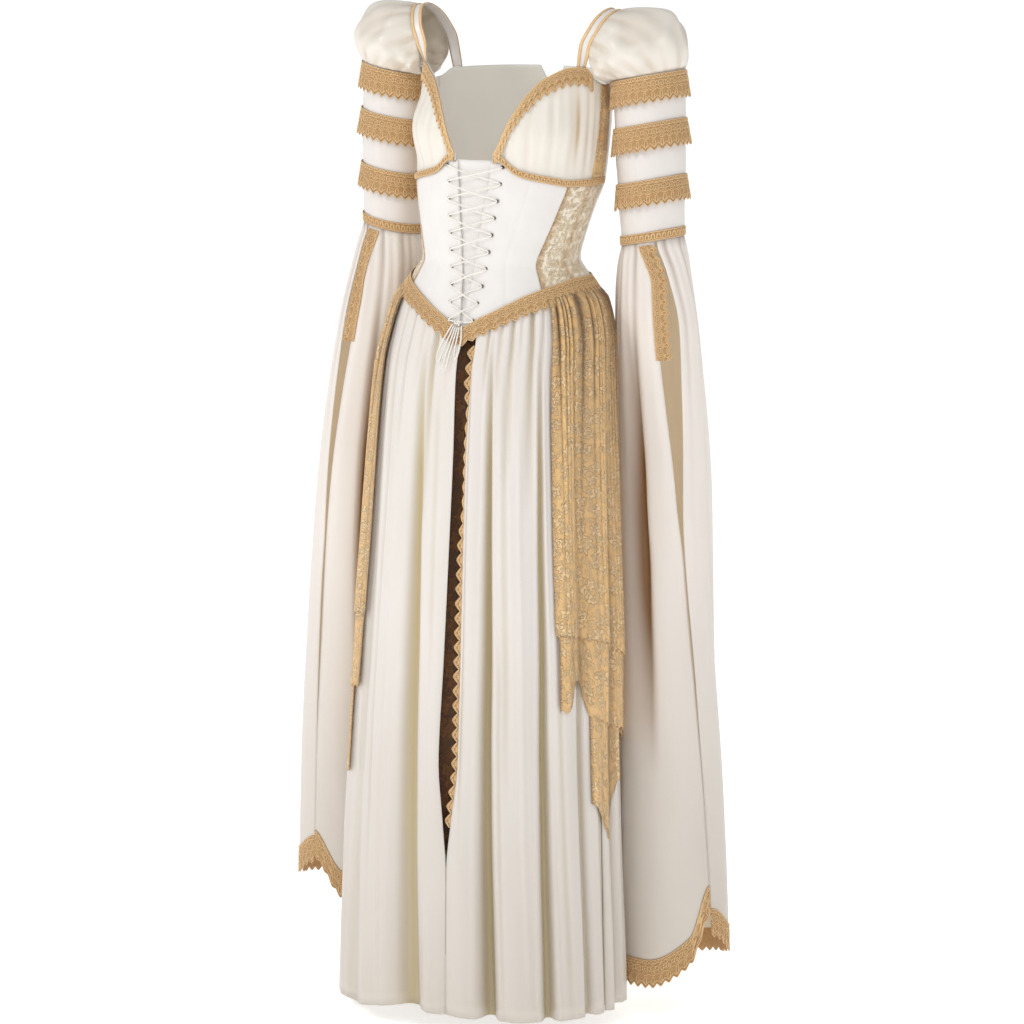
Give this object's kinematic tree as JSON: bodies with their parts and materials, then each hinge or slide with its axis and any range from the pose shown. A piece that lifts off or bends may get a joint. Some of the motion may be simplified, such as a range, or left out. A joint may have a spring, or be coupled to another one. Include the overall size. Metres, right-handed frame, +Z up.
{
  "type": "medieval gown",
  "caption": "Floor-length medieval gown with a laced bodice, pointed gold lace trim, a lace overskirt, a front slit and puffed sleeves that end in long open bells.",
  "frame": {"origin": "the middle of the waist, where the wearer's body holds the gown", "axes": "+Z up towards the neck, -Y out of the gown's front, +X towards the wearer's left arm"},
  "size_m": [0.693, 0.3672, 1.4523],
  "materials": {
    "satin": "soft ivory satin with a low sheen",
    "corset": "matte off-white twill",
    "gold_lace": "gold-tan corded guipure lace",
    "floral_lace": "gold-tan floral lace, faintly shiny thread",
    "lace_over_ivory": "gold lace laid over ivory cloth",
    "dark_lace": "dark brown lace",
    "cord": "ivory woven cord"
  },
  "bodies": {
    "root": {"skirt_front_left": "satin", "skirt_front_right": "satin", "skirt_back": "satin", "back_placket": "satin", "bodice_back_left": "satin", "shoulder_strap_left": "satin", "puff_left": "satin", "upper_sleeve_left": "satin", "bell_sleeve_left": "satin", "cup_left": "satin", "bodice_back_right": "satin", "shoulder_strap_right": "satin", "puff_right": "satin", "upper_sleeve_right": "satin", "bell_sleeve_right": "satin", "cup_right": "satin", "stomacher": "corset", "corset_front_left": "corset", "corset_front_right": "corset", "slit_edging": "gold_lace", "neckline_lace_left": "gold_lace", "underbust_braid_left": "gold_lace", "waist_lace_left": "gold_lace", "sleeve_lace_1_left": "gold_lace", "sleeve_lace_2_left": "gold_lace", "sleeve_lace_3_left": "gold_lace", "elbow_braid_left": "gold_lace", "bell_slit_lace_left": "gold_lace", "bell_hem_lace_left": "gold_lace", "neckline_lace_right": "gold_lace", "underbust_braid_right": "gold_lace", "waist_lace_right": "gold_lace", "sleeve_lace_1_right": "gold_lace", "sleeve_lace_2_right": "gold_lace", "sleeve_lace_3_right": "gold_lace", "elbow_braid_right": "gold_lace", "bell_slit_lace_right": "gold_lace", "bell_hem_lace_right": "gold_lace", "overskirt_tail_left": "floral_lace", "overskirt_under_left": "floral_lace", "overskirt_top_left": "floral_lace", "overskirt_tail_right": "floral_lace", "overskirt_under_right": "floral_lace", "overskirt_top_right": "floral_lace", "side_panel_left": "lace_over_ivory", "side_panel_right": "lace_over_ivory", "slit_inset": "dark_lace", "lacing_left": "cord", "lacing_right": "cord", "lacing_knot": "cord", "bow_loop_left": "cord", "bow_loop_right": "cord", "tie_end_left": "cord", "tie_end_right": "cord"}
  },
  "joints": []
}
